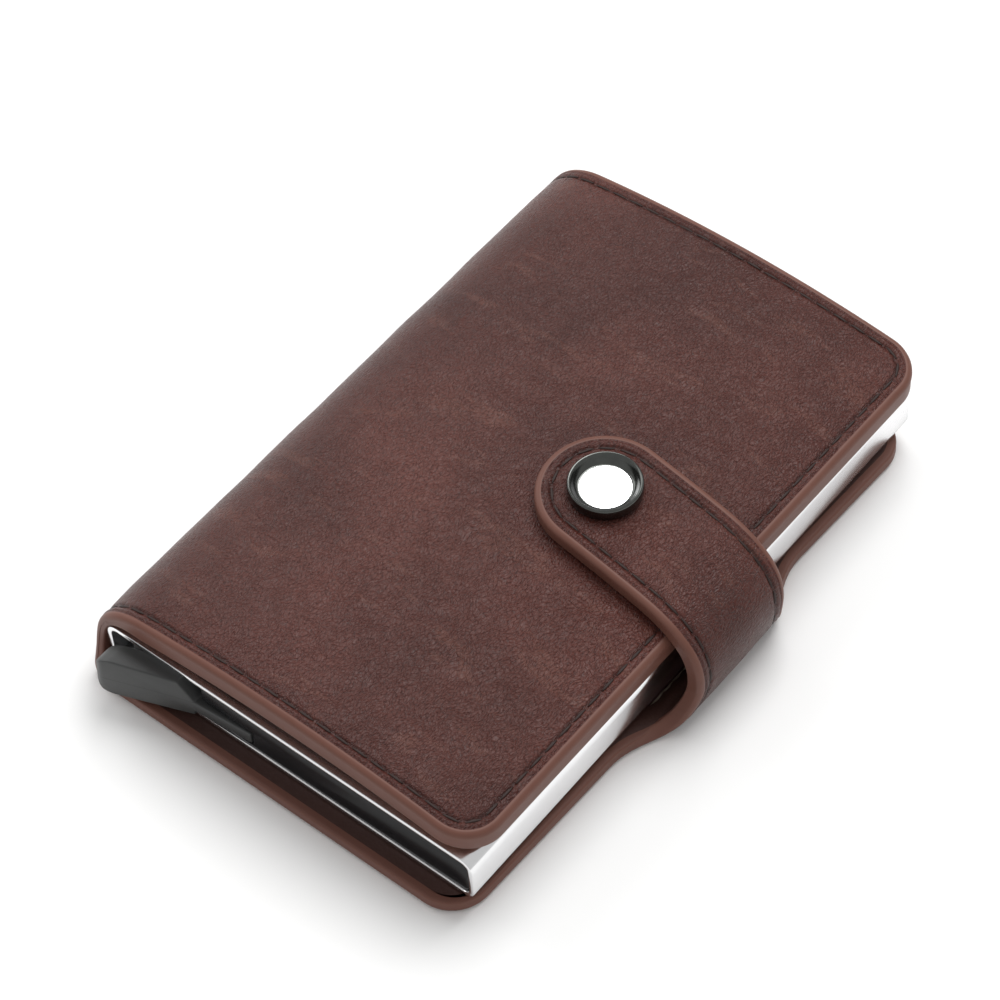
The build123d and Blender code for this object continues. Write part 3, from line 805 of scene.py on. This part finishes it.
profile += [(4.98, cap_top - 0.01), (4.82, cap_top - 0.03), (4.66, cap_top - 0.2)]
profile += [(4.45, cap_top - 0.55), (4.18, cap_top - 0.95), (3.95, cap_top - 1.2)]
profile += [(3.72, cap_top - 1.3), (3.60, cap_top - 1.3), (0.0, cap_top - 1.26)]
snap_x, snap_y = SNAP[0] / 1000, SNAP[1] / 1000
mesh = bpy.data.meshes.new("snap_dish")
outline = [(snap_x + r / 1000, snap_y, z / 1000) for r, z in profile]
mesh.from_pydata(outline, [(n, n + 1) for n in range(len(profile) - 1)], [])
dish = bpy.data.objects.new("snap_dish", mesh)
bpy.context.scene.collection.objects.link(dish)
take(dish)
bpy.ops.object.mode_set(mode="EDIT")
bpy.ops.mesh.select_all(action="SELECT")
bpy.ops.mesh.spin(steps=96, angle=2 * pi, center=(snap_x, snap_y, 0), axis=(0, 0, 1))
bpy.ops.mesh.select_all(action="SELECT")
bpy.ops.mesh.remove_doubles(threshold=1e-6)
bpy.ops.mesh.normals_make_consistent(inside=False)
bpy.ops.object.mode_set(mode="OBJECT")
bpy.ops.object.shade_smooth_by_angle(angle=radians(40))
dress(dish, "snap_metal", nickel.material, mirror.material)
for face in dish.data.polygons:
    reach = sqrt((face.center.x * 1000 - SNAP[0]) ** 2 + (face.center.y * 1000 - SNAP[1]) ** 2)
    face.material_index = int(reach < FLOOR_R and face.center.z * 1000 > cap_foot)
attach(dish, "strap_tip")
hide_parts("snap_cap")
for node in ("snap_socket", "snap_stud"):
    dress(frame["nodes"][node], "snap_metal", nickel.material)

# Floor, light and camera -----------------------------------------------------------------------
# A white sweep under a softbox behind the case and another beside its fold.

deselect()
bpy.ops.mesh.primitive_plane_add(size=6.0, location=(0, 0, -0.00002))
sweep = bpy.context.active_object
sweep.name = "floor"
paper = Finish("white_sweep", Roughness=0.9)
fleck = paper.cloud(paper.place(), 3)
paper.wear(Base_Color=paper.tint(fleck, (0.93, 0.93, 0.925), (0.945, 0.945, 0.94)))
sweep.data.materials.append(paper.material)

world = bpy.data.worlds.new("studio")
world.use_nodes = True
world.node_tree.nodes["Background"].inputs["Color"].default_value = (1, 1, 1, 1)
world.node_tree.nodes["Background"].inputs["Strength"].default_value = 0.58
bpy.context.scene.world = world


def softbox(name, place, size, power):
    light = bpy.data.objects.new(name, bpy.data.lights.new(name, "AREA"))
    light.data.shape, light.data.size, light.data.energy = "SQUARE", size, power
    light.location = place
    light.rotation_euler = (-Vector(place)).to_track_quat("-Z", "Y").to_euler()
    bpy.context.scene.collection.objects.link(light)


softbox("key", (-0.06, 0.42, 0.85), 0.6, 6.2)
softbox("side", (-0.95, 0.15, 0.65), 0.8, 3.5)

turn, lift, roll = radians(41.714), radians(52.712), radians(-3.857)
back = Vector((sin(turn) * cos(lift), -cos(turn) * cos(lift), sin(lift)))
right = Vector((cos(turn), sin(turn), 0))
up = back.cross(right)
across, upward = right * cos(roll) + up * sin(roll), up * cos(roll) - right * sin(roll)
camera = bpy.data.objects.new("camera", bpy.data.cameras.new("camera"))
bpy.context.scene.collection.objects.link(camera)
facing = Matrix((across, upward, back)).transposed().to_4x4()
camera.matrix_world = Matrix.Translation((0.188402, -0.21464, 0.38694)) @ facing
camera.data.lens = 123.9
camera.data.clip_start = 0.01
bpy.context.scene.camera = camera
bpy.context.scene.view_settings.view_transform = "Standard"
